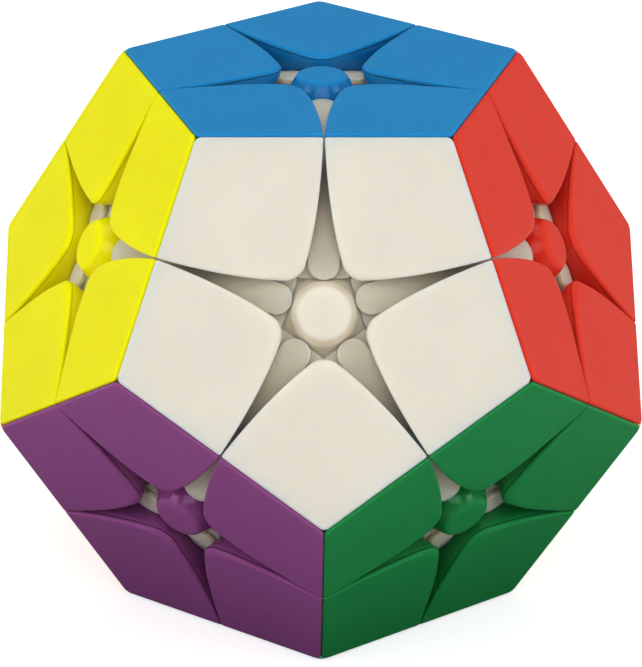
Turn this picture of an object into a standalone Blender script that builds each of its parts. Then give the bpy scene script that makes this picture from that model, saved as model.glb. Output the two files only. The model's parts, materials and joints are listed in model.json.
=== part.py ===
"""Twelve-colour dodecahedral twisty puzzle, two layers deep about each of its twelve faces.

Twenty corner pieces and thirty inner edge pieces hook under twelve centre pieces, and each
centre piece turns on a screw in a common core. Every joint surface of a layer is a surface
of revolution about that layer's axis, so a layer turns through any angle. The puzzle stands
on its light-blue face with its axis on +Z, and its white face looks along -Y.

Lengths below are millimetres; the scene is in metres.
"""

import math

import bmesh
import bpy
from mathutils import Matrix, Vector

MM = 0.001

# overall body
EDGE = 32.0
INRADIUS = EDGE * 0.5 * math.sqrt(2.5 + 1.1 * math.sqrt(5.0))
MID_EDGE_R = 35.63
MID_EDGE_Z = 22.02
RING_TILT = math.degrees(math.atan(0.5))

# the surface that divides a layer from the rest of the puzzle, as a profile about the layer's axis
OUTER_SLOPE = 0.54
BEND_R = 29.9
STEP_SPHERE_R = 25.0
STEP_START_ANGLE = 47.0
FOOT_ANGLE = 56.0
HALF_GAP = 0.2
WELD = 0.005

# depths of the pieces
FOOT_INNER_R = 19.5
PETAL_SPHERE_R = 34.4
PETAL_UNDER_R = 25.9
DOME_ANGLE = 36.0
LAYER_SEGMENTS = 30
FOOT_SEGMENTS = 20

# centre pieces
CAP_TOP_Z = 35.3
CAP_FLAT_R = 2.5
CAP_R = 4.22
CAP_SHOULDER_Z = 33.3
SKIRT_R = 5.6
SKIRT_Z = 30.6
FLANGE_R = 7.5
FLANGE_TOP_Z = 27.0
FLANGE_BOTTOM_Z = 25.25
STEM_R = 2.2
STEM_BOTTOM_Z = 18.8
BORE_R = 1.45
CAVITY_R = 3.0
CAVITY_FLOOR_Z = 26.3
CAVITY_TOP_Z = 32.6
CENTRE_SEGMENTS = 15
CAVITY_SEGMENTS = 8

# core and screws
BALL_R = 12.5
ARM_R = 2.2
ARM_TOP_Z = 18.3
SCREW_R = 1.0
SCREW_HEAD_R = 2.5
SCREW_HEAD_Z = 29.2
SCREW_TOP_Z = 30.8
CORE_SEGMENTS = 8

# faces: tilt of the normal above the horizontal and its direction about +Z, in degrees
FACES = {
    "blue": (90.0, 0.0),
    "white": (RING_TILT, -90.0),
    "red": (RING_TILT, -18.0),
    "pink": (RING_TILT, 54.0),
    "lime": (RING_TILT, 126.0),
    "yellow": (RING_TILT, 198.0),
    "green": (-RING_TILT, -54.0),
    "cream": (-RING_TILT, 18.0),
    "grey": (-RING_TILT, 90.0),
    "orange": (-RING_TILT, 162.0),
    "purple": (-RING_TILT, 234.0),
    "sky": (-90.0, 0.0),
}
CAP_COLOURS = {
    "blue": (0.04, 0.22, 0.55),
    "white": (0.76, 0.73, 0.64),
    "red": (0.63, 0.05, 0.03),
    "pink": (0.78, 0.25, 0.38),
    "lime": (0.26, 0.62, 0.06),
    "yellow": (0.80, 0.78, 0.01),
    "green": (0.02, 0.20, 0.06),
    "cream": (0.80, 0.72, 0.38),
    "grey": (0.22, 0.23, 0.24),
    "orange": (0.82, 0.22, 0.02),
    "purple": (0.19, 0.05, 0.18),
    "sky": (0.25, 0.55, 0.78),
}
BODY_COLOUR = (0.70, 0.67, 0.58)
CORE_COLOUR = (0.55, 0.54, 0.50)

NORMALS = {
    name: Vector(
        (
            math.cos(math.radians(tilt)) * math.cos(math.radians(turn)),
            math.cos(math.radians(tilt)) * math.sin(math.radians(turn)),
            math.sin(math.radians(tilt)),
        )
    )
    for name, (tilt, turn) in FACES.items()
}
CENTRE = Vector((0.0, 0.0, INRADIUS * MM))


def touching(one, other):
    """Do two faces share an edge?"""
    return one != other and NORMALS[one].dot(NORMALS[other]) > 0.4


def neighbours(*names):
    """The faces that share an edge with every face named."""
    return [n for n in FACES if all(touching(n, m) for m in names)]


def remove_everything():
    for obj in list(bpy.data.objects):
        bpy.data.objects.remove(obj)


def principled(name, colour, roughness):
    material = bpy.data.materials.new(name)
    material.use_nodes = True
    shader = material.node_tree.nodes["Principled BSDF"]
    shader.inputs["Base Color"].default_value = (*colour, 1.0)
    shader.inputs["Roughness"].default_value = roughness
    return material


def frame_about(axis, toward):
    """A rotation whose Z is the axis and whose X points toward another direction."""
    z = axis.normalized()
    x = (toward - toward.dot(z) * z).normalized()
    y = z.cross(x)
    return Matrix((x, y, z)).transposed()


def revolved(name, profile, axis, toward, segments, start=0.0):
    """A closed solid: a profile of (radius, height) points turned about an axis."""
    mesh = bpy.data.meshes.new(name)
    bm = bmesh.new()
    turn = frame_about(axis, toward)
    rings = []
    for radius, height in profile:
        if radius == 0.0:
            rings.append([bm.verts.new(turn @ Vector((0.0, 0.0, height)) * MM)])
            continue
        ring = []
        for i in range(segments):
            angle = math.tau * (i + start) / segments
            point = Vector((radius * math.cos(angle), radius * math.sin(angle), height))
            ring.append(bm.verts.new(turn @ point * MM))
        rings.append(ring)
    for first, second in zip(rings, rings[1:] + rings[:1]):
        if len(first) == 1 and len(second) == 1:
            continue
        for i in range(segments):
            j = (i + 1) % segments
            if len(first) == 1:
                bm.faces.new((first[0], second[j], second[i]))
            elif len(second) == 1:
                bm.faces.new((first[i], first[j], second[0]))
            else:
                bm.faces.new((first[i], first[j], second[j], second[i]))
    bmesh.ops.recalc_face_normals(bm, faces=bm.faces)
    bm.to_mesh(mesh)
    bm.free()
    obj = bpy.data.objects.new(name, mesh)
    bpy.context.scene.collection.objects.link(obj)
    return obj


def combine(target, tool, operation):
    """Apply one Boolean to the target and drop the tool."""
    modifier = target.modifiers.new("combine", "BOOLEAN")
    modifier.operation = operation
    modifier.solver = "EXACT"
    modifier.object = tool
    bpy.context.view_layer.update()
    graph = bpy.context.evaluated_depsgraph_get()
    result = bpy.data.meshes.new_from_object(target.evaluated_get(graph))
    target.modifiers.clear()
    target.data = result
    bpy.data.objects.remove(tool)
    weld(result)
    return target


def simplified(obj):
    """Merge the flat pieces of each face that Booleans have divided."""
    bm = bmesh.new()
    bm.from_mesh(obj.data)
    bmesh.ops.dissolve_limit(bm, angle_limit=math.radians(0.6), verts=bm.verts, edges=bm.edges)
    bm.to_mesh(obj.data)
    bm.free()
    return obj


def weld(mesh):
    """Join vertices that meet at a crease, where two mirrored surfaces end at one point."""
    bm = bmesh.new()
    bm.from_mesh(mesh)
    bmesh.ops.remove_doubles(bm, verts=bm.verts, dist=WELD * MM)
    bmesh.ops.dissolve_degenerate(bm, edges=bm.edges, dist=0.1 * WELD * MM)
    bm.to_mesh(mesh)
    bm.free()


def layer_body(face, inset, top):
    """All that a face's layer may fill above its feet; a negative inset makes it a cutter."""
    slope_in = inner_slope()
    rise_out = inset * math.hypot(1.0, OUTER_SLOPE)
    rise_in = inset * math.hypot(1.0, slope_in)
    bend_z = outer_line(BEND_R)
    bend_r = BEND_R + (rise_in - rise_out) / (OUTER_SLOPE - slope_in)
    axis_z = bend_z - slope_in * BEND_R + rise_in
    far = 52.0
    profile = [
        (0.0, axis_z),
        (bend_r, outer_line(bend_r) + rise_out),
        (far, outer_line(far) + rise_out),
        (far, top),
        (0.0, top),
    ]
    toward = NORMALS[neighbours(face)[0]]
    return revolved("layer", profile, NORMALS[face], toward, LAYER_SEGMENTS)


def outer_line(radius):
    return MID_EDGE_Z + OUTER_SLOPE * (radius - MID_EDGE_R)


def inner_slope():
    start_r = STEP_SPHERE_R * math.sin(math.radians(STEP_START_ANGLE))
    start_z = STEP_SPHERE_R * math.cos(math.radians(STEP_START_ANGLE))
    return (outer_line(BEND_R) - start_z) / (BEND_R - start_r)


def foot_cone(face, inset):
    """The cone that holds a layer's feet below the step; a negative inset makes it a cutter."""
    angle = math.radians(FOOT_ANGLE)
    tip = inset / math.sin(angle)
    reach = 34.0
    profile = [(0.0, tip), (reach, reach / math.tan(angle) + tip), (reach, 48.0), (0.0, 48.0)]
    toward = NORMALS[neighbours(face)[0]]
    return revolved("cone", profile, NORMALS[face], toward, FOOT_SEGMENTS)


def shell(axis, toward, inner, outer, steps, segments):
    """A thick spherical dome about an axis, from one radius to another."""
    spread = math.radians(DOME_ANGLE)
    inside = [spread * i / steps[0] for i in range(steps[0] + 1)]
    outside = [spread * i / steps[1] for i in range(steps[1], -1, -1)]
    rise = [(inner * math.sin(a), inner * math.cos(a)) for a in inside]
    fall = [(outer * math.sin(a), outer * math.cos(a)) for a in outside]
    return revolved("dome", rise + fall, axis, toward, segments, 0.5)


def corner_piece(faces):
    """A corner: three kite faces on the outside and a three-sided foot on the inside."""
    axis = sum((NORMALS[f] for f in faces), Vector()).normalized()
    toward = NORMALS[faces[0]]
    piece = shell(axis, toward, 24.0, 60.0, (1, 1), 6)
    for face in faces:
        combine(piece, layer_body(face, HALF_GAP, INRADIUS), "INTERSECT")
    foot = shell(axis, toward, FOOT_INNER_R, STEP_SPHERE_R - HALF_GAP, (1, 3), 12)
    for face in faces:
        combine(foot, foot_cone(face, HALF_GAP), "INTERSECT")
    return simplified(combine(piece, foot, "UNION"))


def edge_piece(faces):
    """An inner edge: a petal under each of two faces, joined to one foot by a web."""
    axis = (NORMALS[faces[0]] + NORMALS[faces[1]]).normalized()
    toward = NORMALS[faces[0]]
    sides = neighbours(*faces)
    piece = shell(axis, toward, PETAL_UNDER_R, PETAL_SPHERE_R, (2, 3), 8)
    web = shell(axis, toward, 23.0, 27.6, (1, 1), 8)
    foot = shell(axis, toward, FOOT_INNER_R, STEP_SPHERE_R - HALF_GAP, (1, 2), 8)
    for face in faces:
        combine(piece, layer_body(face, HALF_GAP, 60.0), "INTERSECT")
        combine(web, layer_body(face, HALF_GAP, 60.0), "INTERSECT")
        combine(foot, foot_cone(face, HALF_GAP), "INTERSECT")
    for face in sides:
        combine(piece, layer_body(face, -HALF_GAP, 60.0), "DIFFERENCE")
        combine(web, foot_cone(face, -HALF_GAP), "DIFFERENCE")
        combine(foot, foot_cone(face, -HALF_GAP), "DIFFERENCE")
    combine(piece, web, "UNION")
    return simplified(combine(piece, foot, "UNION"))


def centre_piece(face):
    """A centre: coloured button, fluted skirt, flange that holds the feet, and bored stem."""
    shoulder = []
    for i in (1, 2):
        angle = math.radians(90.0 * i / 3)
        radius = CAP_FLAT_R + (CAP_R - CAP_FLAT_R) * math.sin(angle)
        height = CAP_SHOULDER_Z + (CAP_TOP_Z - CAP_SHOULDER_Z) * math.cos(angle)
        shoulder.append((radius, height))
    profile = [(0.0, CAP_TOP_Z), (CAP_FLAT_R, CAP_TOP_Z)] + shoulder
    profile += [
        (CAP_R, CAP_SHOULDER_Z),
        (SKIRT_R, SKIRT_Z + 1.0),
        (SKIRT_R, SKIRT_Z),
        (FLANGE_R, FLANGE_TOP_Z),
        (FLANGE_R, FLANGE_BOTTOM_Z),
        (STEM_R, FLANGE_BOTTOM_Z),
        (STEM_R, STEM_BOTTOM_Z),
        (0.0, STEM_BOTTOM_Z),
    ]
    hollow = [
        (0.0, STEM_BOTTOM_Z - 1.0),
        (BORE_R, STEM_BOTTOM_Z - 1.0),
        (BORE_R, CAVITY_FLOOR_Z),
        (CAVITY_R, CAVITY_FLOOR_Z),
        (CAVITY_R, CAVITY_TOP_Z),
        (0.0, CAVITY_TOP_Z),
    ]
    around = neighbours(face)
    toward = NORMALS[around[0]]
    piece = revolved("centre", profile, NORMALS[face], toward, CENTRE_SEGMENTS)
    for other in around:
        combine(piece, layer_body(other, -HALF_GAP, 60.0), "DIFFERENCE")
    bore = revolved("bore", hollow, NORMALS[face], toward, CAVITY_SEGMENTS)
    return simplified(combine(piece, bore, "DIFFERENCE"))


def core_piece():
    """The core: a ball with twelve arms, each with its screw standing in it."""
    profile = [(0.0, BALL_R)]
    for i in range(1, 8):
        angle = math.pi * i / 8
        profile.append((BALL_R * math.sin(angle), BALL_R * math.cos(angle)))
    profile.append((0.0, -BALL_R))
    ball = revolved("core", profile, NORMALS["blue"], NORMALS["white"], 15, 0.5)
    arm = [
        (0.0, 6.0),
        (ARM_R, 6.0),
        (ARM_R, ARM_TOP_Z),
        (SCREW_R, ARM_TOP_Z),
        (SCREW_R, SCREW_HEAD_Z),
        (SCREW_HEAD_R, SCREW_HEAD_Z),
        (SCREW_HEAD_R, SCREW_TOP_Z),
        (0.0, SCREW_TOP_Z),
    ]
    for face in FACES:
        toward = NORMALS[neighbours(face)[0]]
        tool = revolved("arm", arm, NORMALS[face], toward, CORE_SEGMENTS)
        combine(ball, tool, "UNION")
    return simplified(ball)


def turn_between(home, target):
    """The rotation that carries one set of directions onto another."""
    return Matrix(target).transposed() @ Matrix(home).transposed().inverted()


def basis(names):
    """Three directions that fix how a piece on these faces stands."""
    first = NORMALS[names[0]]
    if len(names) == 3:
        return (first, NORMALS[names[1]], NORMALS[names[2]])
    second = NORMALS[names[1]]
    return (first, second, first.cross(second))


def place(name, pattern, turn, material):
    """Stand a copy of a pattern piece in the puzzle."""
    mesh = pattern.data.copy()
    mesh.name = name
    mesh.materials.clear()
    mesh.materials.append(material)
    obj = bpy.data.objects.new(name, mesh)
    bpy.context.scene.collection.objects.link(obj)
    obj.location = CENTRE
    obj.rotation_euler = turn.to_euler()
    return obj


def corner_names():
    """The twenty corners, each with its faces in the same turning order about the corner."""
    found = []
    order = list(FACES)
    for a in order:
        for b in order:
            for c in order:
                if order.index(a) > min(order.index(b), order.index(c)):
                    continue
                if not (touching(a, b) and touching(b, c) and touching(a, c)):
                    continue
                if NORMALS[a].dot(NORMALS[b].cross(NORMALS[c])) > 0.0:
                    found.append((a, b, c))
    return found


def edge_names():
    order = list(FACES)
    return [(a, b) for i, a in enumerate(order) for b in order[i + 1:] if touching(a, b)]


def bottom_assembly(centre_pattern, edge_pattern, edge_home, centre_home, material):
    """The bottom centre with the five inner edges round it, bridged into one body."""
    around = neighbours("sky")
    body = place("centre_sky_with_edges", centre_pattern, turn_between(
        basis(centre_home), basis(("sky", around[0]))), material)
    bridge = revolved(
        "bridge",
        [(5.0, 26.1), (7.75, 26.1), (7.75, 26.9), (5.0, 26.9)],
        NORMALS["sky"],
        NORMALS[around[0]],
        40,
    )
    bridge.location = CENTRE
    combine(body, bridge, "UNION")
    for face in around:
        turn = turn_between(basis(edge_home), basis(("sky", face)))
        edge = place("bottom_edge", edge_pattern, turn, material)
        combine(body, edge, "UNION")
    return body


def build():
    remove_everything()
    body_plastic = principled("body_plastic", BODY_COLOUR, 0.45)
    core_plastic = principled("core_plastic", CORE_COLOUR, 0.5)
    caps = {n: principled(n + "_plastic", c, 0.35) for n, c in CAP_COLOURS.items()}

    corners = corner_names()
    edges = edge_names()
    centre_home = ("blue", "white")
    corner = corner_piece(corners[0])
    edge = edge_piece(edges[0])
    centre = centre_piece(centre_home[0])

    core = core_piece()
    core.location = CENTRE
    core.data.materials.append(core_plastic)

    for names in corners:
        turn = turn_between(basis(corners[0]), basis(names))
        place("corner_" + "_".join(names), corner, turn, body_plastic)
    for names in edges:
        if "sky" not in names:
            turn = turn_between(basis(edges[0]), basis(names))
            place("edge_" + "_".join(names), edge, turn, body_plastic)
    for name in FACES:
        if name != "sky":
            turn = turn_between(basis(centre_home), basis((name, neighbours(name)[0])))
            place("centre_" + name, centre, turn, caps[name])
    bottom_assembly(centre, edge, edges[0], centre_home, caps["sky"])
    for pattern in (corner, edge, centre):
        bpy.data.objects.remove(pattern)


build()
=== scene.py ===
"""Looks of the twelve-colour dodecahedral twisty puzzle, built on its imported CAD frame.

Every corner is three clipped-on coloured shells round a plain foot, every inner edge shows a
petal on each of its two faces, and every centre is a coloured button on a plain hollow stem
with its screw, spring and washer. Lengths in the shape code are millimetres, about the
puzzle's centre, and the meshes are written in metres.
"""

import json
import math

import bmesh
import bpy
import numpy as np
from mathutils import Matrix, Vector


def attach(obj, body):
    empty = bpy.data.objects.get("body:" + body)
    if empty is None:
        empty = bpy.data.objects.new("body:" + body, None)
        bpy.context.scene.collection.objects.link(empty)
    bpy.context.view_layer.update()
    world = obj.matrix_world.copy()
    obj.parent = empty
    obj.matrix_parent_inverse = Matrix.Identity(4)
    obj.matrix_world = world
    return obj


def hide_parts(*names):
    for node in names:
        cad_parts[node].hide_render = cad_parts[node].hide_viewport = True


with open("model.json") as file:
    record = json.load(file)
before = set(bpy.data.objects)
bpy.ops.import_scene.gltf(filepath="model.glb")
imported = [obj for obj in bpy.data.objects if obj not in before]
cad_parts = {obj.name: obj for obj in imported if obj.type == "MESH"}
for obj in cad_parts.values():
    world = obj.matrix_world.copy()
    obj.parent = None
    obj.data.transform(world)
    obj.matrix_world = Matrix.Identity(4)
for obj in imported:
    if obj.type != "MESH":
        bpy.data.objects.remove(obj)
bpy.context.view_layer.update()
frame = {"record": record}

MM = 0.001
TAU = math.tau

# overall body
EDGE = 32.0
INRADIUS = EDGE * 0.5 * math.sqrt(2.5 + 1.1 * math.sqrt(5.0))
RING_TILT = math.degrees(math.atan(0.5))
FACE_COS = 1.0 / math.sqrt(5.0)
FACE_SIN = 2.0 / math.sqrt(5.0)
MITRE_ANGLE = 0.5 * math.acos(FACE_COS)
MITRE_SLOPE = math.tan(MITRE_ANGLE)
HALF_FIFTH = TAU / 10.0

# the surface that divides a layer from the rest, as a profile about the layer's axis
MID_EDGE_R = 35.63
MID_EDGE_Z = 22.02
OUTER_SLOPE = 0.54
BEND_R = 29.9
BEND_SOFTNESS = 0.25
STEP_SPHERE_R = 25.0
STEP_START_ANGLE = 47.0
FOOT_ANGLE = 56.0
FOOT_INNER_R = 19.5
HALF_GAP = 0.2
SHELL_GAP = 0.05
PETAL_GAP = 0.03
LEDGE_GAP = 0.06
TOOL_R = 52.0
TOOL_TOP_Z = 60.0
CONE_TOOL_R = 34.0
CONE_TOOL_TOP_Z = 48.0

# Booleans: points closer than WELD become one, and edges shorter than SLIVER go
WELD = 0.003
SLIVER = 0.0003
CREASE = math.radians(35.0)

# kite shells
SHELL_DEPTH = 9.7
SHELL_SEAM = 0.02
KITE_MIDDLE = 15.0
KITE_RAYS = 1601
EDGE_FILLET = 0.32
TIP_FILLET = 1.7
SIDE_FILLET = 0.38
SLOT_FILLET = 0.18
RIM_DROP = 0.9
TIP_ROUND = 1.9
VERTEX_ROUND = 0.7
SIDE_ROUND = 0.3
# from this far from the face's middle, and over this many millimetres more, the tip's wide rim
# fades out and the slots' thin rim comes in
TIP_RIM_FROM = 5.0
TIP_RIM_OVER = 4.5
SLOT_RIM_FROM = 11.0
SLOT_RIM_OVER = 6.5
# the satin face's depth, and the depth over which the glossier wall comes in below it, deeper in
# colour partly as painted shade
SATIN_DEPTH = 0.3
SATIN_FADE = 1.6

# the plain block under three shells
BLOCK_INNER_R = 24.0
BLOCK_TOP_Z = INRADIUS - SHELL_DEPTH - 0.02

# inner edges: petals, the ledge beside them, and the web and foot under them
PETAL_SPHERE_R = 33.8
PETAL_BOTTOM_R = 27.2
LEDGE_R = 33.0
LEDGE_UNDER_R = 25.9
WEB_INNER_R = 23.0
WEB_OUTER_R = 27.6
PETAL_END_R = 2.0
PETAL_END_AT = 6.15
PETAL_FILLET = 0.18
PETAL_WELD = 0.0005

# centres: button and fluted skirt, then flange, stem, bore and cavity
CAP_TOP_Z = 35.3
CAP_FLAT_R = 2.3
CAP_RIM_R = 3.4
CAP_RIM_Z = 34.75
CAP_R = 4.15
CAP_SHOULDER_Z = 33.4
SKIRT_R = 5.6
SKIRT_TOP_Z = 31.7
SKIRT_Z = 30.6
CAP_GAP = 0.03
# the button's satin depth, and the depth over which its glossier side comes in, deeper in colour
# partly as painted shade
CAP_SATIN_DEPTH = 0.2
CAP_SATIN_FADE = 0.6
FLANGE_R = 7.4
FLANGE_TOP_Z = 27.0
FLANGE_UNDER_Z = 25.3
STEM_R = 2.2
STEM_BOTTOM_Z = 18.9
BORE_R = 1.45
CAVITY_R = 3.0
CAVITY_FLOOR_Z = 26.3

# screws, springs, washers and core
SCREW_TOP_Z = 29.85
SCREW_HEAD_R = 2.5
SHANK_R = 1.0
THREAD_ROOT_R = 0.72
THREAD_TOP_Z = 19.0
THREAD_PITCH = 0.5
THREAD_TURNS = 14
RECESS_SIZE = (2.4, 0.5, 1.2)
WIRE_R = 0.22
COIL_R = 2.1
COIL_LOW_Z = 26.55
COIL_HIGH_Z = 28.0
COIL_TURNS = 4.5
COIL_STEPS = 36
WIRE_SIDES = 10
WASHER_BORE_R = 1.25
BALL_R = 12.5
ARM_R = 2.2
ARM_ROOT_R = 3.4
ARM_TOP_Z = 18.3
ARM_BORE_R = 1.05

FACES = {
    "blue": (90.0, 0.0),
    "white": (RING_TILT, -90.0),
    "red": (RING_TILT, -18.0),
    "pink": (RING_TILT, 54.0),
    "lime": (RING_TILT, 126.0),
    "yellow": (RING_TILT, 198.0),
    "green": (-RING_TILT, -54.0),
    "cream": (-RING_TILT, 18.0),
    "grey": (-RING_TILT, 90.0),
    "orange": (-RING_TILT, 162.0),
    "purple": (-RING_TILT, 234.0),
    "sky": (-90.0, 0.0),
}
COLOURS = {
    "blue": (0.014, 0.228, 0.520),
    "white": (0.735, 0.695, 0.610),
    "red": (0.700, 0.042, 0.022),
    "pink": (0.800, 0.230, 0.370),
    "lime": (0.240, 0.620, 0.040),
    "yellow": (0.860, 0.810, 0.000),
    "green": (0.014, 0.235, 0.062),
    "cream": (0.800, 0.710, 0.370),
    "grey": (0.180, 0.190, 0.200),
    "orange": (0.830, 0.200, 0.010),
    "purple": (0.250, 0.068, 0.228),
    "sky": (0.200, 0.520, 0.760),
}
NEUTRAL = (0.680, 0.600, 0.485)
CORE_COLOUR = (0.56, 0.55, 0.51)
STEEL = (0.55, 0.55, 0.56)
PLASTIC_IOR = 1.49
NOISE_APART = 57.0
FACE_SHINE = 0.09
WALL_SHINE = 0.4
WALL_SMOOTHNESS = 0.38

# how far light spreads under the surface: its weight, and its distance in millimetres
PALE_SPREAD = (1.0, 3.0)
DEEP_SPREAD = (0.6, 1.5)

# stage, lights (place, size and power, in metres and watts) and camera
FLOOR_GLOW = 0.6
# the bounce card's albedo under the puzzle and far out, and the distances over which it changes:
# a painted shadow, dark where the floor under the puzzle would lie in its shade
CARD_PAINTED_SHADOW = 0.05
CARD_FAR = 0.9
CARD_PAINTED_SHADOW_R = 0.03
CARD_FAR_R = 0.13
SHEET_HALF = 4.0
SKY_STRENGTH = 0.30
BACKDROP_STRENGTH = 1.1
LIGHTS_AIM = Vector((0.0, 0.0, 0.03))
LIGHTS = {
    "front_box": ((0.0, -1.0, 0.85), (1.0, 0.8), 5.5),
    "overhead": ((0.0, 0.1, 0.9), (1.0, 0.8), 3.0),
    "left_box": ((-0.95, -0.5, 0.35), (0.5, 0.8), 4.4),
    "right_box": ((0.95, -0.5, 0.35), (0.5, 0.8), 4.2),
}
CAMERA_AZIMUTH = -0.85
CAMERA_ELEVATION = 24.40
CAMERA_ROLL = 0.36
CAMERA_DISTANCE = 0.5325
CAMERA_LENS = 218.0
CAMERA_SHIFT = (0.00105, -0.01387)

NORMALS = {
    name: Vector(
        (
            math.cos(math.radians(tilt)) * math.cos(math.radians(turn)),
            math.cos(math.radians(tilt)) * math.sin(math.radians(turn)),
            math.sin(math.radians(tilt)),
        )
    )
    for name, (tilt, turn) in FACES.items()
}
CENTRE = Vector((0.0, 0.0, INRADIUS * MM))
BOTTOM_NODE = "centre_sky_with_edges"
BODIES = frame["record"]["behaviour"]["bodies"]
BODY_OF = {node: body for body, members in BODIES.items() for node in members}


def touching(one, other):
    """Do two faces share an edge?"""
    return one != other and NORMALS[one].dot(NORMALS[other]) > 0.4


def neighbours(*names):
    """The faces that share an edge with every face named."""
    return [n for n in FACES if all(touching(n, m) for m in names)]


# ---------------------------------------------------------------- shape of the dividing surface


def outer_line(radius):
    """Height of the dividing surface's straight outer part."""
    return MID_EDGE_Z + OUTER_SLOPE * (radius - MID_EDGE_R)


STEP_START_R = STEP_SPHERE_R * math.sin(math.radians(STEP_START_ANGLE))
STEP_START_Z = STEP_SPHERE_R * math.cos(math.radians(STEP_START_ANGLE))
INNER_SLOPE = (outer_line(BEND_R) - STEP_START_Z) / (BEND_R - STEP_START_R)


def surface(radius, softness=BEND_SOFTNESS):
    """Height of the dividing surface; softness rounds the bend to the layer's own side."""
    outer = outer_line(radius)
    inner = outer_line(BEND_R) + INNER_SLOPE * (radius - BEND_R)
    return 0.5 * (outer + inner) + np.sqrt(0.25 * (outer - inner) ** 2 + softness**2)


def wall(u, v, height, bearing, gap, softness=BEND_SOFTNESS):
    """How far a point in a face's plane lies outside a neighbour's layer, along the plane."""
    c, s = math.cos(bearing), math.sin(bearing)
    z = height * FACE_COS + (u * c + v * s) * FACE_SIN
    r = np.sqrt(np.maximum(u * u + v * v + height * height - z * z, 1e-9))
    slope = (surface(r + 0.01, softness) - surface(r - 0.01, softness)) / 0.02
    along_u = slope * (u - z * FACE_SIN * c) / r - FACE_SIN * c
    along_v = slope * (v - z * FACE_SIN * s) / r - FACE_SIN * s
    return (surface(r, softness) + gap * np.hypot(1.0, slope) - z) / np.hypot(along_u, along_v)


def rounded(a, b, radius):
    """The corner between two sides, rounded; both are negative inside."""
    over = np.hypot(np.maximum(a + radius, 0.0), np.maximum(b + radius, 0.0))
    return np.minimum(-radius, np.maximum(a, b)) + over


def bisect(field, low, high, steps=40):
    """Where a field that rises from low to high passes zero."""
    low = np.array(low, float)
    high = np.array(high, float)
    for _ in range(steps):
        middle = 0.5 * (low + high)
        inside = field(middle) < 0.0
        low = np.where(inside, middle, low)
        high = np.where(inside, high, middle)
    return 0.5 * (low + high)


def along(points, where):
    """Points at the given shares of a polyline's length."""
    run = np.concatenate([[0.0], np.cumsum(np.linalg.norm(np.diff(points, axis=0), axis=1))])
    at = np.asarray(where) * run[-1]
    return np.stack([np.interp(at, run, points[:, k]) for k in range(points.shape[1])], axis=1)


def spaced(total, start, end, middle):
    """Shares of a side, close together at both of its ends."""
    low = list(start)
    high = [total - e for e in reversed(end)]
    between = list(np.linspace(low[-1], high[0], middle + 2)[1:-1])
    return np.array(low + between + high) / total


# ---------------------------------------------------------------- mesh helpers


def finish_mesh(name, verts, faces, unit=MM, sides=None):
    """A smooth mesh from points in millimetres; sides is 1 where a point is on a glossy wall."""
    mesh = bpy.data.meshes.new(name)
    mesh.from_pydata([Vector(p) * unit for p in verts], [], faces)
    if sides is not None:
        mesh.attributes.new("side", "FLOAT", "POINT").data.foreach_set("value", sides)
    mesh.polygons.foreach_set("use_smooth", [True] * len(mesh.polygons))
    mesh.update()
    return mesh


def bands(count, loops):
    """Quads between closed loops of equal length, listed from the top down."""
    faces = []
    for k in range(loops - 1):
        for i in range(count):
            j = (i + 1) % count
            faces.append((k * count + i, (k + 1) * count + i, (k + 1) * count + j, k * count + j))
    return faces


def closed_bands(count, loops):
    """Quads between closed loops, with a lid on the first loop and on the last."""
    last = (loops - 1) * count
    lids = [tuple(range(count)), tuple(range(last + count - 1, last - 1, -1))]
    return bands(count, loops) + lids


def tidy_normals(mesh, angle=None, weld=None):
    """Faces turned outward, edges sharper than the angle marked, close points made one."""
    bm = bmesh.new()
    bm.from_mesh(mesh)
    if weld is not None:
        bmesh.ops.remove_doubles(bm, verts=bm.verts, dist=weld)
    bmesh.ops.recalc_face_normals(bm, faces=bm.faces)
    if angle is not None:
        for edge in bm.edges:
            if len(edge.link_faces) == 2:
                edge.smooth = edge.calc_face_angle(0.0) < angle
    for face in bm.faces:
        face.smooth = True
    bm.to_mesh(mesh)
    bm.free()
    return mesh


def frame_about(axis, toward):
    """The rotation that stands +Z on an axis and turns +X toward another direction."""
    z = axis.normalized()
    x = (toward - toward.dot(z) * z).normalized()
    return Matrix((x, z.cross(x), z)).transposed()


def lathe(name, profile, segments, start=0.0, unit=1.0):
    """A closed solid turned about Z from a profile; Booleans work in millimetres."""
    verts, rings, faces = [], [], []
    for radius, height in profile:
        if radius == 0.0:
            rings.append([len(verts)])
            verts.append((0.0, 0.0, height))
            continue
        rings.append(list(range(len(verts), len(verts) + segments)))
        for i in range(segments):
            a = TAU * (i + start) / segments
            verts.append((radius * math.cos(a), radius * math.sin(a), height))
    for one, two in zip(rings, rings[1:] + rings[:1]):
        if len(one) == 1 and len(two) == 1:
            continue
        for i in range(segments):
            j = (i + 1) % segments
            if len(one) == 1:
                faces.append((one[0], two[j], two[i]))
            elif len(two) == 1:
                faces.append((one[i], one[j], two[0]))
            else:
                faces.append((one[i], one[j], two[j], two[i]))
    return finish_mesh(name, verts, faces, unit)


def temporary(mesh, matrix=None):
    """A throw-away object for a Boolean."""
    if matrix is not None:
        mesh.transform(matrix)
    tidy_normals(mesh)
    obj = bpy.data.objects.new("temporary", mesh)
    bpy.context.scene.collection.objects.link(obj)
    return obj


def combine(target, tool, operation):
    """Boolean of two throw-away objects, without slivers; the tool goes."""
    modifier = target.modifiers.new("combine", "BOOLEAN")
    modifier.operation = operation
    modifier.solver = "EXACT"
    modifier.object = tool
    bpy.context.view_layer.update()
    graph = bpy.context.evaluated_depsgraph_get()
    result = bpy.data.meshes.new_from_object(target.evaluated_get(graph))
    target.modifiers.clear()
    target.data = result
    bpy.data.objects.remove(tool)
    bm = bmesh.new()
    bm.from_mesh(result)
    bmesh.ops.remove_doubles(bm, verts=bm.verts, dist=WELD)
    bmesh.ops.dissolve_degenerate(bm, edges=bm.edges, dist=SLIVER)
    bm.to_mesh(result)
    bm.free()
    return target


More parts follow.
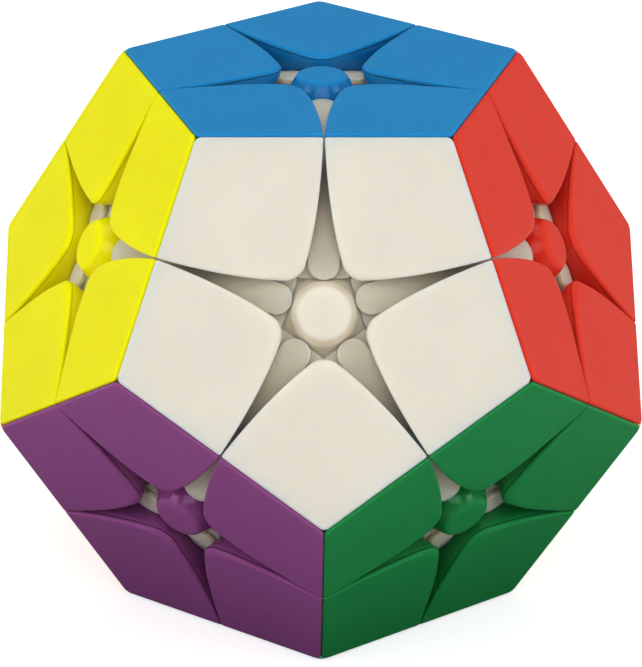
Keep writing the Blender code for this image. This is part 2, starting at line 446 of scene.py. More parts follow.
def taken(obj, name, angle=CREASE):
    """The mesh of a finished Boolean, in metres and with its creases marked; the object goes."""
    mesh = obj.data
    mesh.name = name
    mesh.materials.clear()
    tidy_normals(mesh, angle)
    mesh.transform(Matrix.Scale(MM, 4))
    bpy.data.objects.remove(obj)
    return mesh


def face_frame(face):
    """The rotation that stands +Z on a face's axis, with +X toward its first neighbour."""
    return frame_about(NORMALS[face], NORMALS[neighbours(face)[0]])


def layer_tool(face, inset, top=TOOL_TOP_Z, segments=90):
    """The space of a layer above its feet; a negative inset makes it a cutter."""
    rise_out = inset * math.hypot(1.0, OUTER_SLOPE)
    rise_in = inset * math.hypot(1.0, INNER_SLOPE)
    bend_r = BEND_R + (rise_in - rise_out) / (OUTER_SLOPE - INNER_SLOPE)
    axis_z = outer_line(BEND_R) - INNER_SLOPE * BEND_R + rise_in
    profile = [
        (0.0, axis_z),
        (bend_r, outer_line(bend_r) + rise_out),
        (TOOL_R, outer_line(TOOL_R) + rise_out),
        (TOOL_R, top),
        (0.0, top),
    ]
    return temporary(lathe("layer", profile, segments), face_frame(face).to_4x4())


def cone_tool(face, inset, segments=90):
    """The cone that holds a layer's feet; a negative inset makes it a cutter."""
    angle = math.radians(FOOT_ANGLE)
    tip = inset / math.sin(angle)
    profile = [
        (0.0, tip),
        (CONE_TOOL_R, CONE_TOOL_R / math.tan(angle) + tip),
        (CONE_TOOL_R, CONE_TOOL_TOP_Z),
        (0.0, CONE_TOOL_TOP_Z),
    ]
    return temporary(lathe("cone", profile, segments), face_frame(face).to_4x4())


def dome_tool(axis, toward, inner, outer, steps=10, segments=48, spread=36.0):
    """A thick spherical dome about an axis, from one radius to another."""
    rise = []
    fall = []
    for i in range(steps + 1):
        a = math.radians(spread) * i / steps
        rise.append((inner * math.sin(a), inner * math.cos(a)))
        fall.append((outer * math.sin(a), outer * math.cos(a)))
    turn = frame_about(axis, toward).to_4x4()
    return temporary(lathe("dome", rise + fall[::-1], segments, 0.5), turn)


# ---------------------------------------------------------------- kite shells


def mitre_reach(height):
    """How far a shell reaches toward the dodecahedron's edge, with its rounded rim."""
    inside = EDGE_FILLET + SHELL_SEAM
    rim = INRADIUS - EDGE_FILLET
    if height >= rim - EDGE_FILLET * math.sin(MITRE_ANGLE):
        start = MITRE_SLOPE * rim - inside / math.cos(MITRE_ANGLE)
        return start + math.sqrt(max(EDGE_FILLET**2 - (height - rim) ** 2, 0.0))
    return MITRE_SLOPE * height - SHELL_SEAM / math.cos(MITRE_ANGLE)


def wall_inset(depth, u):
    """How far a rounded rim stands back from its wall: widest at the tip, thin in the slots."""
    tip = np.clip(1.0 - (u - TIP_RIM_FROM) / TIP_RIM_OVER, 0.0, 1.0) ** 1.5
    slot = np.clip((u - SLOT_RIM_FROM) / SLOT_RIM_OVER, 0.0, 1.0)
    side = SIDE_FILLET + (SLOT_FILLET - SIDE_FILLET) * slot
    across = side + (TIP_FILLET - side) * tip
    down = side + (RIM_DROP - side) * tip
    rise = 1.0 - np.minimum(depth / down, 1.0)
    return across * (1.0 - np.sqrt(1.0 - rise**2))


# where the outline's points lie near a kite's vertex, its two side corners and its tip
NEAR_VERTEX = (0.0, 0.1, 0.2, 0.32, 0.45, 0.6, 0.8, 1.05, 1.4, 2.0, 3.0, 4.4)
NEAR_SIDE = (0.0, 0.05, 0.1, 0.16, 0.23, 0.31, 0.42, 0.6, 0.9, 1.5, 2.5, 3.9)
NEAR_TIP = (0.0, 0.25, 0.5, 0.75, 1.0, 1.25, 1.5, 1.75, 2.05, 2.5, 3.2, 4.4)
OUTER_SHARES = spaced(16.0, NEAR_VERTEX, NEAR_SIDE, 5)
INNER_SHARES = spaced(17.0, NEAR_SIDE, NEAR_TIP, 6)


def kite_loop(depth, extra=0.0):
    """A kite's outline at a depth below its face, from the vertex round to the tip and back."""
    height = INRADIUS - depth
    reach = mitre_reach(height) - extra
    angles = np.linspace(0.0, math.pi, KITE_RAYS)
    du, dv = np.cos(angles), np.sin(angles)

    def sides(run):
        u = KITE_MIDDLE + du * run
        v = dv * run
        side_in = wall_inset(depth, u) + extra
        near = wall(u, v, height, HALF_FIFTH, SHELL_GAP) + side_in
        far = wall(u, v, height, -HALF_FIFTH, SHELL_GAP) + side_in
        tip = rounded(near, far, TIP_ROUND + 0.5 * side_in)
        edge_near = u * math.cos(HALF_FIFTH) + v * math.sin(HALF_FIFTH) - reach
        edge_far = u * math.cos(HALF_FIFTH) - v * math.sin(HALF_FIFTH) - reach
        vertex = rounded(edge_near, edge_far, VERTEX_ROUND)
        return tip, vertex

    def field(run):
        tip, vertex = sides(run)
        return rounded(tip, vertex, SIDE_ROUND)

    run = bisect(field, np.zeros_like(angles), np.full_like(angles, 40.0))
    tip, vertex = sides(run)
    points = np.stack([KITE_MIDDLE + du * run, dv * run], axis=1)
    change = int(np.argmax(tip > vertex))
    before, after = tip[change - 1] - vertex[change - 1], tip[change] - vertex[change]
    share = -before / (after - before)
    corner = points[change - 1] * (1.0 - share) + points[change] * share
    outer = along(np.vstack([points[:change], corner]), OUTER_SHARES)
    inner = along(np.vstack([corner, points[change:]]), INNER_SHARES)
    half = np.vstack([outer[:-1], inner])
    half[0, 1] = 0.0
    half[-1, 1] = 0.0
    back = half[1:-1][::-1] * np.array([1.0, -1.0])
    outline = np.vstack([half, back])
    return np.column_stack([outline, np.full(len(outline), height)])


def kite_mesh():
    """One coloured shell: satin face and rim, then glossier walls down to its clip line."""
    depths = [0.0, 0.008, 0.025, 0.05, 0.085, 0.13, 0.19, 0.26, 0.34, 0.42, 0.52]
    depths += [EDGE_FILLET * (1.0 + math.sin(MITRE_ANGLE)), 0.76, 0.9, 1.15]
    depths += [1.6, 2.2, 2.9, 3.6, 4.4, 5.4, 6.6, 8.0, SHELL_DEPTH]
    loops = [kite_loop(0.0, 0.6), kite_loop(0.0, 0.1)] + [kite_loop(d) for d in depths]
    verts = np.vstack(loops)
    faces = closed_bands(len(loops[0]), len(loops))
    # the wall mask: glossier below the face, and deeper in colour partly as painted shade
    sides = np.clip((INRADIUS - verts[:, 2] - SATIN_DEPTH) / SATIN_FADE, 0.0, 1.0)
    return finish_mesh("kite_shell", verts, faces, MM, sides)


# ---------------------------------------------------------------- inner edges


def petal_side(q, sphere, circle):
    """Half the width of the gap between the two kites beside a petal."""

    def field(t):
        height = np.sqrt(np.maximum(sphere * sphere - q * q - t * t, 1.0))
        reach = q * math.cos(TAU / 5.0) + t * math.sin(TAU / 5.0)
        return height * FACE_COS + reach * FACE_SIN - circle

    return bisect(field, np.full_like(q, -3.0), np.full_like(q, 9.0))


def petal_loop(sphere, inset):
    """A petal's outline on a sphere, from its round end along one side to its thin end."""
    gap_up = PETAL_GAP * math.hypot(1.0, INNER_SLOPE)

    def above_surface(z):
        return z + gap_up - surface(np.sqrt(sphere**2 - z**2), 0.0)

    circle = float(bisect(above_surface, 0.0, sphere))
    last = sphere * math.sin(MITRE_ANGLE) + 0.03
    level = math.sqrt(sphere**2 - 20.0)
    origin = np.zeros(1)
    edge = bisect(lambda u: -wall(u, origin, level, 0.0, PETAL_GAP, 0.0), origin, origin + 12.0)
    end_at = max(PETAL_END_AT, float(edge[0]) + PETAL_END_R + 0.02)
    probe = np.linspace(end_at, last, 400)
    open_width = petal_side(probe, sphere, circle)
    closed = np.nonzero(open_width < 0.05)[0]
    thin_end = probe[closed[0]] if len(closed) else last
    turn = np.radians(np.linspace(0.0, 90.0, 17))
    radius = PETAL_END_R - inset
    q = np.concatenate(
        [
            end_at - radius * np.cos(turn),
            end_at + (thin_end - end_at) * np.linspace(0.0, 1.0, 29)[1:],
        ]
    )
    end = np.sqrt(np.maximum(radius**2 - np.minimum(q - end_at, 0.0) ** 2, 0.0))
    end += inset * np.clip((q - end_at) / 2.0, 0.0, 1.0)
    side = np.maximum(petal_side(q, sphere, circle), 0.02)
    return q, np.minimum(end, side), sphere


def petal_parts(loops):
    """Vertices and faces of a petal that is skinned over its outlines."""
    rings = []
    for q, width, sphere in loops:
        ring_q = np.concatenate([q, q[:0:-1]])
        ring_t = np.concatenate([-width, width[:0:-1]])
        height = np.sqrt(sphere**2 - ring_q**2 - ring_t**2)
        rings.append(np.column_stack([ring_q, ring_t, height]))
    count = len(rings[0])
    verts = list(np.vstack(rings))
    faces = bands(count, len(rings))
    columns = 7
    for (q, width, sphere), flip in ((loops[0], False), (loops[-1], True)):
        rows = len(q)
        base = len(verts)
        for j in range(rows):
            for k in range(columns):
                t = width[j] * (2.0 * k / (columns - 1) - 1.0)
                verts.append((q[j], t, math.sqrt(sphere**2 - q[j] ** 2 - t**2)))
        for j in range(rows - 1):
            for k in range(columns - 1):
                a = base + j * columns + k
                quad = (a, a + columns, a + columns + 1, a + 1)
                faces.append(quad[::-1] if flip else quad)
    return verts, faces


def edge_mesh():
    """An inner edge: two petals with soft rims, joined by a web to the foot."""
    home = ("blue", "white")
    a, b = (NORMALS[n] for n in home)
    axis = (a + b).normalized()
    sides = neighbours(*home)
    loops = []
    for angle in (0, 18, 36, 54, 72, 90):
        turn = math.radians(angle)
        drop = PETAL_FILLET * (1.0 - math.cos(turn))
        loops.append(petal_loop(PETAL_SPHERE_R - drop, PETAL_FILLET * (1.0 - math.sin(turn))))
    for sphere in (33.2, 32.0, 30.8, 29.6, 28.4, PETAL_BOTTOM_R):
        loops.append(petal_loop(sphere, 0.0))
    verts, faces = petal_parts(loops)
    stand = frame_about(a, b)
    swap = Matrix.Rotation(math.pi, 3, axis)
    first = [stand @ Vector(p) for p in verts]
    second = [swap @ p for p in first]
    both = faces + [tuple(i + len(first) for i in f) for f in faces]
    petals = finish_mesh("petals", first + second, both)

    ledge = dome_tool(axis, a, LEDGE_UNDER_R, LEDGE_R)
    web = dome_tool(axis, a, WEB_INNER_R, WEB_OUTER_R)
    foot = dome_tool(axis, a, FOOT_INNER_R, STEP_SPHERE_R - HALF_GAP)
    for face in home:
        combine(ledge, layer_tool(face, LEDGE_GAP), "INTERSECT")
        combine(web, layer_tool(face, HALF_GAP), "INTERSECT")
        combine(foot, cone_tool(face, HALF_GAP), "INTERSECT")
    for face in sides:
        combine(ledge, layer_tool(face, -LEDGE_GAP), "DIFFERENCE")
        combine(web, cone_tool(face, -HALF_GAP), "DIFFERENCE")
        combine(foot, cone_tool(face, -HALF_GAP), "DIFFERENCE")
    combine(web, ledge, "UNION")
    combine(web, foot, "UNION")
    inner = taken(web, "inner_edge")
    tidy_normals(petals, math.radians(45.0), PETAL_WELD * MM)
    bm = bmesh.new()
    bm.from_mesh(petals)
    bm.from_mesh(inner)
    bm.to_mesh(inner)
    bm.free()
    return inner, (a, b, a.cross(b))


# ---------------------------------------------------------------- corner feet


def foot_mesh():
    """The plain part of a corner, under its three shells."""
    home = ("blue", "white", "red")
    axis = sum((NORMALS[n] for n in home), Vector()).normalized()
    toward = NORMALS[home[0]]
    piece = dome_tool(axis, toward, BLOCK_INNER_R, TOOL_TOP_Z, 4, 24)
    for face in home:
        combine(piece, layer_tool(face, HALF_GAP, BLOCK_TOP_Z), "INTERSECT")
    foot = dome_tool(axis, toward, FOOT_INNER_R, STEP_SPHERE_R - HALF_GAP, 12, 60)
    for face in home:
        combine(foot, cone_tool(face, HALF_GAP), "INTERSECT")
    mesh = taken(combine(piece, foot, "UNION"), "corner_foot")
    return mesh, tuple(NORMALS[n] for n in home)


# ---------------------------------------------------------------- centres


def cap_loop(radius, height):
    """A button's outline: a circle that the five neighbouring layers flatten."""
    angles = np.linspace(0.0, TAU, 181)[:-1]
    du, dv = np.cos(angles), np.sin(angles)

    def field(run):
        u, v = du * run, dv * run
        value = run - radius
        for k in range(5):
            beyond = -wall(u, v, height, TAU * k / 5.0, -CAP_GAP, 0.0)
            value = rounded(value, beyond, 0.15)
        return value

    run = bisect(field, np.zeros_like(angles), np.full_like(angles, 12.0))
    return np.column_stack([du * run, dv * run, np.full(len(angles), height)])


def cap_mesh():
    """A button with a soft shoulder, on a fluted skirt."""
    rings = [(0.5, CAP_TOP_Z), (1.3, CAP_TOP_Z), (CAP_FLAT_R - 0.3, CAP_TOP_Z)]
    guides = [
        [(CAP_FLAT_R, CAP_TOP_Z), (CAP_RIM_R - 0.25, CAP_TOP_Z), (CAP_RIM_R, CAP_RIM_Z)],
        [(CAP_RIM_R, CAP_RIM_Z), (CAP_RIM_R + 0.35, 34.2), (CAP_R, CAP_SHOULDER_Z)],
        [(CAP_R, CAP_SHOULDER_Z), (CAP_R + 0.25, 32.2), (SKIRT_R, SKIRT_TOP_Z)],
    ]
    for guide in guides:
        for i in range(9):
            s = i / 9.0
            weights = ((1.0 - s) ** 2, 2.0 * s * (1.0 - s), s * s)
            rings.append(tuple(sum(w * p[k] for w, p in zip(weights, guide)) for k in (0, 1)))
    rings.append((SKIRT_R, SKIRT_TOP_Z))
    rings.append((SKIRT_R, SKIRT_Z))
    loops = [cap_loop(r, z) for r, z in rings]
    verts = np.vstack(loops)
    faces = closed_bands(len(loops[0]), len(loops))
    # the side mask: glossier below the top, and deeper in colour partly as painted shade
    sides = np.clip((CAP_TOP_Z - verts[:, 2] - CAP_SATIN_DEPTH) / CAP_SATIN_FADE, 0.0, 1.0)
    mesh = finish_mesh("cap", verts, faces, MM, sides)
    return tidy_normals(mesh, math.radians(60.0))


def stem_mesh():
    """The plain part of a centre: flange over the feet, and a bored stem."""
    home = "blue"
    top = SKIRT_Z - 0.03
    profile = [
        (0.0, top),
        (SKIRT_R - 0.1, top),
        (FLANGE_R - 0.3, FLANGE_TOP_Z + 0.6),
        (FLANGE_R, FLANGE_TOP_Z),
        (FLANGE_R, FLANGE_UNDER_Z + 0.2),
        (FLANGE_R - 0.2, FLANGE_UNDER_Z),
        (STEM_R + 0.1, FLANGE_UNDER_Z),
        (STEM_R, FLANGE_UNDER_Z - 0.1),
        (STEM_R, STEM_BOTTOM_Z),
        (0.0, STEM_BOTTOM_Z),
    ]
    hollow = [
        (0.0, 18.0),
        (BORE_R, 18.0),
        (BORE_R, CAVITY_FLOOR_Z),
        (CAVITY_R, CAVITY_FLOOR_Z),
        (CAVITY_R, 31.0),
        (0.0, 31.0),
    ]
    turn = face_frame(home).to_4x4()
    piece = temporary(lathe("stem", profile, 64), turn)
    for face in neighbours(home):
        combine(piece, layer_tool(face, -HALF_GAP), "DIFFERENCE")
    combine(piece, temporary(lathe("hollow", hollow, 40), turn), "DIFFERENCE")
    axis, toward = NORMALS[home], NORMALS[neighbours(home)[0]]
    return taken(piece, "centre_stem"), (axis, toward, axis.cross(toward))


def screw_mesh():
    """A pan-head screw with a cross recess, its shank in the core."""
    profile = [(0.0, SCREW_TOP_Z), (1.2, SCREW_TOP_Z), (1.9, 29.7), (2.35, 29.3)]
    profile += [(SCREW_HEAD_R, 28.8), (SCREW_HEAD_R, 28.55)]
    profile += [(SHANK_R, 28.5), (SHANK_R, THREAD_TOP_Z)]
    for i in range(THREAD_TURNS):
        z = THREAD_TOP_Z - THREAD_PITCH * i
        profile += [(SHANK_R, z - 0.1), (THREAD_ROOT_R, z - 0.25), (THREAD_ROOT_R, z - 0.35)]
    profile += [(0.5, 11.6), (0.0, 11.0)]
    screw = temporary(lathe("screw", profile, 32))
    lift = Matrix.Translation((0.0, 0.0, SCREW_TOP_Z + 0.05))
    size = Matrix.Diagonal((*RECESS_SIZE, 1.0))
    for turn in (0.0, 90.0):
        bm = bmesh.new()
        stand = lift @ Matrix.Rotation(math.radians(turn), 4, "Z")
        bmesh.ops.create_cube(bm, size=1.0, matrix=stand @ size)
        mesh = bpy.data.meshes.new("slot")
        bm.to_mesh(mesh)
        bm.free()
        combine(screw, temporary(mesh), "DIFFERENCE")
    return taken(screw, "screw")


def spring_mesh():
    """A compression spring between the washer and the floor of the cavity."""
    count = int(COIL_TURNS * COIL_STEPS)
    verts = []
    for i in range(count + 1):
        a = TAU * COIL_TURNS * i / count
        z = COIL_LOW_Z + (COIL_HIGH_Z - COIL_LOW_Z) * i / count
        out = Vector((math.cos(a), math.sin(a), 0.0))
        for k in range(WIRE_SIDES):
            b = TAU * k / WIRE_SIDES
            rise = Vector((0.0, 0.0, z + WIRE_R * math.sin(b)))
            verts.append(tuple(out * (COIL_R + WIRE_R * math.cos(b)) + rise))
    faces = closed_bands(WIRE_SIDES, count + 1)
    return tidy_normals(finish_mesh("spring", verts, faces), math.radians(50.0))


def washer_mesh():
    """A flat washer with a softened rim, under the screw's head."""
    profile = [(WASHER_BORE_R, 28.25), (2.6, 28.25), (2.68, 28.3)]
    profile += [(2.68, 28.42), (2.6, 28.48), (WASHER_BORE_R, 28.48)]
    return tidy_normals(lathe("washer", profile, 48, unit=MM), math.radians(50.0))


def core_mesh():
    """A ball with twelve stub arms, each with a softened rim."""
    bm = bmesh.new()
    bmesh.ops.create_icosphere(bm, subdivisions=5, radius=BALL_R)
    ball = bpy.data.meshes.new("ball")
    bm.to_mesh(ball)
    bm.free()
    obj = temporary(ball)
    arm = [(0.0, 6.0), (ARM_ROOT_R, 6.0), (ARM_ROOT_R, 12.2), (2.6, 13.0), (ARM_R, 13.6)]
    arm += [(ARM_R, ARM_TOP_Z - 0.2), (ARM_R - 0.2, ARM_TOP_Z)]
    arm += [(ARM_BORE_R, ARM_TOP_Z), (ARM_BORE_R, 11.0), (0.0, 11.0)]
    for name in FACES:
        combine(obj, temporary(lathe("arm", arm, 40), face_frame(name).to_4x4()), "UNION")
    return taken(obj, "core_ball", math.radians(30.0))


# ---------------------------------------------------------------- materials


class Nodes:
    """A material's node tree, with short calls for the nodes that the plastics use."""

    def __init__(self, name):
        self.material = bpy.data.materials.new(name)
        self.material.use_nodes = True
        self.tree = self.material.node_tree
        self.shader = self.tree.nodes["Principled BSDF"]
        self.place = self.tree.nodes.new("ShaderNodeTexCoord").outputs["Object"]
        self.each = self.tree.nodes.new("ShaderNodeObjectInfo").outputs["Random"]

    def link(self, source, socket):
        self.tree.links.new(source, socket)

    def product(self, value, factor):
        """A value times a number or times another value."""
        node = self.tree.nodes.new("ShaderNodeMath")
        node.operation = "MULTIPLY"
        self.link(value, node.inputs[0])
        if isinstance(factor, float):
            node.inputs[1].default_value = factor
        else:
            self.link(factor, node.inputs[1])
        return node.outputs[0]

    def noise(self, scale, detail, roughness=0.5):
        """Noise in millimetres: scale is features per millimetre, different on each piece."""
        node = self.tree.nodes.new("ShaderNodeTexNoise")
        node.noise_dimensions = "4D"
        node.inputs["Scale"].default_value = scale / MM
        node.inputs["Detail"].default_value = detail
        node.inputs["Roughness"].default_value = roughness
        self.link(self.place, node.inputs["Vector"])
        self.link(self.product(self.each, NOISE_APART), node.inputs["W"])
        return node.outputs["Fac"]

    def span(self, value, low, high, start=0.3, end=0.7):
        """A value from low to high while another goes from start to end."""
        node = self.tree.nodes.new("ShaderNodeMapRange")
        node.inputs["From Min"].default_value = start
        node.inputs["From Max"].default_value = end
        node.inputs["To Min"].default_value = low
        node.inputs["To Max"].default_value = high
        self.link(value, node.inputs["Value"])
        return node.outputs["Result"]

    def between(self, factor, one, two):
        """A mix of two colours; either may be a socket."""
        node = self.tree.nodes.new("ShaderNodeMix")
        node.data_type = "RGBA"
        self.link(factor, node.inputs["Factor"])
        sockets = [s for s in node.inputs if s.type == "RGBA"]
        for colour, socket in zip((one, two), sockets):
            if isinstance(colour, tuple):
                socket.default_value = (*colour, 1.0)
            else:
                self.link(colour, socket)
        return next(s for s in node.outputs if s.type == "RGBA")

    def bump(self, height, distance, strength, under=None):
        node = self.tree.nodes.new("ShaderNodeBump")
        node.inputs["Distance"].default_value = distance * MM
        node.inputs["Strength"].default_value = strength
        self.link(height, node.inputs["Height"])
        if under is not None:
            self.link(under, node.inputs["Normal"])
        return node.outputs["Normal"]


def plastic(name, colour, rough, grain, shine, spread=None):
    """Moulded plastic: faint flow clouds in the colour, uneven gloss and a fine tool grain."""
    nodes = Nodes(name)
    shader = nodes.shader
    deep = tuple(c * 0.97 for c in colour)
    pale = tuple(min(c * 1.02 + 0.0005, 1.0) for c in colour)
    tone = nodes.between(nodes.span(nodes.noise(0.12, 3.0), 0.0, 1.0), deep, pale)
    nodes.link(tone, shader.inputs["Base Color"])
    nodes.link(nodes.span(nodes.noise(0.9, 4.0, 0.6), *rough), shader.inputs["Roughness"])
    shader.inputs["IOR"].default_value = PLASTIC_IOR
    shader.inputs["Specular IOR Level"].default_value = shine
    hue = [0.45 + 0.55 * c / max(colour) for c in colour]
    shader.inputs["Specular Tint"].default_value = (*hue, 1.0)
    wave = nodes.bump(nodes.noise(0.1, 1.0), 0.01, 0.08)
    nodes.link(nodes.bump(nodes.noise(9.0, 2.0), 0.002, grain, wave), shader.inputs["Normal"])
    if spread is not None:
        weight, reach = spread
        shader.inputs["Subsurface Weight"].default_value = weight
        shader.inputs["Subsurface Radius"].default_value = (1.0, 0.75, 0.45)
        shader.inputs["Subsurface Scale"].default_value = reach * MM
    return nodes


def shell_plastic(name, colour, wall_tone_and_shade, spread):
    """Satin on a shell's face; glossier walls, deeper in colour partly of their own and partly as
    painted shade.
    """
    nodes = plastic(name, colour, (0.38, 0.44), 0.2, FACE_SHINE, spread)
    base, rough = nodes.shader.inputs["Base Color"], nodes.shader.inputs["Roughness"]
    attribute = nodes.tree.nodes.new("ShaderNodeAttribute")
    attribute.attribute_name = "side"
    side = attribute.outputs["Fac"]
    # the walls' colour comes in with the side mask: partly the plastic's own deeper tone, partly
    # painted shade
    nodes.link(nodes.between(side, base.links[0].from_socket, wall_tone_and_shade), base)
    smoother = nodes.span(side, 1.0, WALL_SMOOTHNESS, 0.0, 1.0)
    nodes.link(nodes.product(rough.links[0].from_socket, smoother), rough)
    shine = nodes.span(side, FACE_SHINE, WALL_SHINE, 0.0, 1.0)
    nodes.link(shine, nodes.shader.inputs["Specular IOR Level"])
    return nodes.material


def metal(name, colour, rough):
    """Worn bright metal."""
    nodes = Nodes(name)
    shader = nodes.shader
    shader.inputs["Metallic"].default_value = 1.0
    tone = nodes.span(nodes.noise(1.5, 3.0), 0.0, 1.0)
    pale = tuple(min(c * 1.15, 1.0) for c in colour)
    nodes.link(nodes.between(tone, colour, pale), shader.inputs["Base Color"])
    nodes.link(nodes.span(nodes.noise(4.0, 3.0), *rough), shader.inputs["Roughness"])
    nodes.link(nodes.bump(nodes.noise(12.0, 2.0), 0.003, 0.2), shader.inputs["Normal"])
    return nodes.material


def build_materials():
    """A material for each face's colour, for the plain plastic, the core and the steel parts."""
    made = {}
    for name, colour in COLOURS.items():
        if name in ("white", "cream"):
            # painted warm shade: the walls of pale shells are made a little tan, as their
            # crevices look in shade
            sides = (colour[0], 0.97 * colour[1], 0.88 * colour[2])
            made[name] = shell_plastic(name, colour, sides, PALE_SPREAD)
        else:
            # deeper colour down the walls: partly the glossier plastic's own tone, partly painted
            # shade
            sides = tuple(c**1.15 for c in colour)
            made[name] = shell_plastic(name, colour, sides, DEEP_SPREAD)
    made["neutral"] = plastic("neutral", NEUTRAL, (0.32, 0.42), 0.25, 0.3, PALE_SPREAD).material
    made["core"] = plastic("core", CORE_COLOUR, (0.35, 0.45), 0.3, 0.3).material
    made["steel"] = metal("steel", STEEL, (0.22, 0.34))
    return made


# ---------------------------------------------------------------- the puzzle


def turn_between(home, target):
    """The rotation that takes three directions to three others."""
    return Matrix(target).transposed() @ Matrix(home).transposed().inverted()


def place(name, mesh, turn, material, body, node):
    """Stand a piece in the puzzle, on its body, in place of its CAD node."""
    own = mesh.copy()
    own.name = name
    own.transform(Matrix.Translation(CENTRE) @ turn.to_4x4())
    own.materials.append(material)
    obj = bpy.data.objects.new(name, own)
    bpy.context.scene.collection.objects.link(obj)
    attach(obj, body)
    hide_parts(node)


def build_corners(made):
    kite = kite_mesh()
    foot, foot_home = foot_mesh()
    for node in sorted(n for n in BODY_OF if n.startswith("corner_")):
        names = node.split("_")[1:]
        body = BODY_OF[node]
        middle = sum((NORMALS[n] for n in names), Vector())
        for name in names:
            turn = frame_about(NORMALS[name], middle)
            place(f"shell_{name}_of_{node}", kite, turn, made[name], body, node)
        turn = turn_between(foot_home, tuple(NORMALS[n] for n in names))
        place(f"foot_of_{node}", foot, turn, made["neutral"], body, node)


def build_edges(made):
    mesh, home = edge_mesh()
    order = list(FACES)
    for i, one in enumerate(order):
        for other in order[i + 1:]:
            if not touching(one, other):
                continue
            node = BOTTOM_NODE if other == "sky" else f"edge_{one}_{other}"
            a, b = NORMALS[one], NORMALS[other]
            turn = turn_between(home, (a, b, a.cross(b)))
            name = f"inner_edge_{one}_{other}"
            place(name, mesh, turn, made["neutral"], BODY_OF[node], node)


def build_centres(made):
    cap = cap_mesh()
    stem, stem_home = stem_mesh()
    hardware = {"screw": screw_mesh(), "spring": spring_mesh(), "washer": washer_mesh()}
    core_body = BODY_OF["core"]
    for name in FACES:
        node = BOTTOM_NODE if name == "sky" else "centre_" + name
        body = BODY_OF[node]
        axis, toward = NORMALS[name], NORMALS[neighbours(name)[0]]
        turn = frame_about(axis, toward)
        place(f"button_{name}", cap, turn, made[name], body, node)
        held = turn_between(stem_home, (axis, toward, axis.cross(toward)))
        place(f"stem_{name}", stem, held, made["neutral"], body, node)
        for part, mesh in hardware.items():
            rides = core_body if part == "screw" else body
            place(f"{part}_{name}", mesh, turn, made["steel"], rides, "core")
    upright = Matrix.Identity(3)
    place("core_ball", core_mesh(), upright, made["core"], core_body, "core")


# ---------------------------------------------------------------- stage, lights and camera


def sheet(name, height):
    """A wide level sheet of the stage."""
    bm = bmesh.new()
    bmesh.ops.create_grid(bm, x_segments=8, y_segments=8, size=SHEET_HALF)
    mesh = bpy.data.meshes.new(name)
    bm.to_mesh(mesh)
    bm.free()
    obj = bpy.data.objects.new(name, mesh)
    obj.location = (0.0, 0.0, height)
    bpy.context.scene.collection.objects.link(obj)
    return obj


def build_stage():
    """A floor that only the camera sees, over a card that lights the puzzle from below.

    The card is darker near the puzzle, as painted shadow. The floor has a little glow, as white
    as the backdrop.
    """
    floor = sheet("floor", -0.0001)
    nodes = Nodes("floor_paper")
    nodes.shader.inputs["Base Color"].default_value = (0.80, 0.80, 0.80, 1.0)
    nodes.shader.inputs["Specular IOR Level"].default_value = 0.0
    nodes.shader.inputs["Emission Color"].default_value = (1.0, 1.0, 1.0, 1.0)
    nodes.shader.inputs["Emission Strength"].default_value = FLOOR_GLOW
    nodes.link(nodes.span(nodes.noise(0.02, 2.0), 0.55, 0.65), nodes.shader.inputs["Roughness"])
    floor.data.materials.append(nodes.material)
    floor.visible_diffuse = False
    floor.visible_glossy = False
    floor.visible_transmission = False
    floor.visible_shadow = False
    card = sheet("bounce_card", -0.0003)
    nodes = Nodes("card")
    # painted shadow: the card's albedo darkens toward the puzzle
    far = nodes.tree.nodes.new("ShaderNodeVectorMath")
    far.operation = "LENGTH"
    nodes.link(nodes.place, far.inputs[0])
    shade = nodes.span(far.outputs["Value"], CARD_PAINTED_SHADOW, CARD_FAR, CARD_PAINTED_SHADOW_R, CARD_FAR_R)
    tone = nodes.between(shade, (0.0, 0.0, 0.0), (1.0, 1.0, 1.0))
    nodes.link(tone, nodes.shader.inputs["Base Color"])
    nodes.link(nodes.span(nodes.noise(0.02, 2.0), 0.7, 0.8), nodes.shader.inputs["Roughness"])
    card.data.materials.append(nodes.material)
    card.visible_camera = False


def area_light(name, at, size, power):
    data = bpy.data.lights.new(name, "AREA")
    data.shape = "RECTANGLE"
    data.size, data.size_y = size
    data.energy = power
    light = bpy.data.objects.new(name, data)
    light.location = at
    aim = LIGHTS_AIM - Vector(at)
    light.rotation_mode = "QUATERNION"
    light.rotation_quaternion = aim.to_track_quat("-Z", "Y")
    bpy.context.scene.collection.objects.link(light)


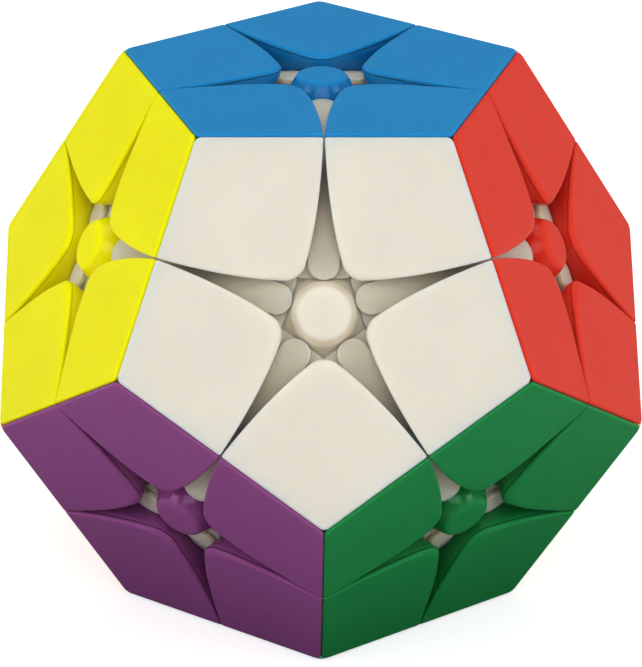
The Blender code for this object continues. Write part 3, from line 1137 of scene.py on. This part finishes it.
def build_lights():
    """Even room light, a brighter backdrop for the camera alone, and four soft boxes."""
    world = bpy.data.worlds.new("studio")
    world.use_nodes = True
    tree = world.node_tree
    room = tree.nodes["Background"]
    room.inputs["Color"].default_value = (1.0, 1.0, 1.0, 1.0)
    room.inputs["Strength"].default_value = SKY_STRENGTH
    backdrop = tree.nodes.new("ShaderNodeBackground")
    backdrop.inputs["Color"].default_value = (1.0, 1.0, 1.0, 1.0)
    backdrop.inputs["Strength"].default_value = BACKDROP_STRENGTH
    seen = tree.nodes.new("ShaderNodeLightPath").outputs["Is Camera Ray"]
    mix = tree.nodes.new("ShaderNodeMixShader")
    tree.links.new(seen, mix.inputs[0])
    tree.links.new(room.outputs[0], mix.inputs[1])
    tree.links.new(backdrop.outputs[0], mix.inputs[2])
    tree.links.new(mix.outputs[0], tree.nodes["World Output"].inputs["Surface"])
    bpy.context.scene.world = world
    for name, (at, size, power) in LIGHTS.items():
        area_light(name, at, size, power)
    bpy.context.scene.view_settings.view_transform = "Standard"


def build_camera():
    """The camera at the photograph's angle, with its small roll."""
    data = bpy.data.cameras.new("camera")
    data.lens = CAMERA_LENS
    data.sensor_width = 36.0
    data.shift_x, data.shift_y = CAMERA_SHIFT
    data.clip_start, data.clip_end = 0.01, 20.0
    camera = bpy.data.objects.new("camera", data)
    a, e = math.radians(CAMERA_AZIMUTH), math.radians(CAMERA_ELEVATION)
    back = Vector((math.sin(a) * math.cos(e), -math.cos(a) * math.cos(e), math.sin(e)))
    right = (-back).cross(Vector((0.0, 0.0, 1.0))).normalized()
    up = right.cross(-back)
    c, s = math.cos(math.radians(CAMERA_ROLL)), math.sin(math.radians(CAMERA_ROLL))
    turned = Matrix((right * c + up * s, up * c - right * s, back)).transposed()
    camera.matrix_world = Matrix.Translation(CENTRE + back * CAMERA_DISTANCE) @ turned.to_4x4()
    bpy.context.scene.collection.objects.link(camera)
    bpy.context.scene.camera = camera


made = build_materials()
build_corners(made)
build_edges(made)
build_centres(made)
build_stage()
build_lights()
build_camera()
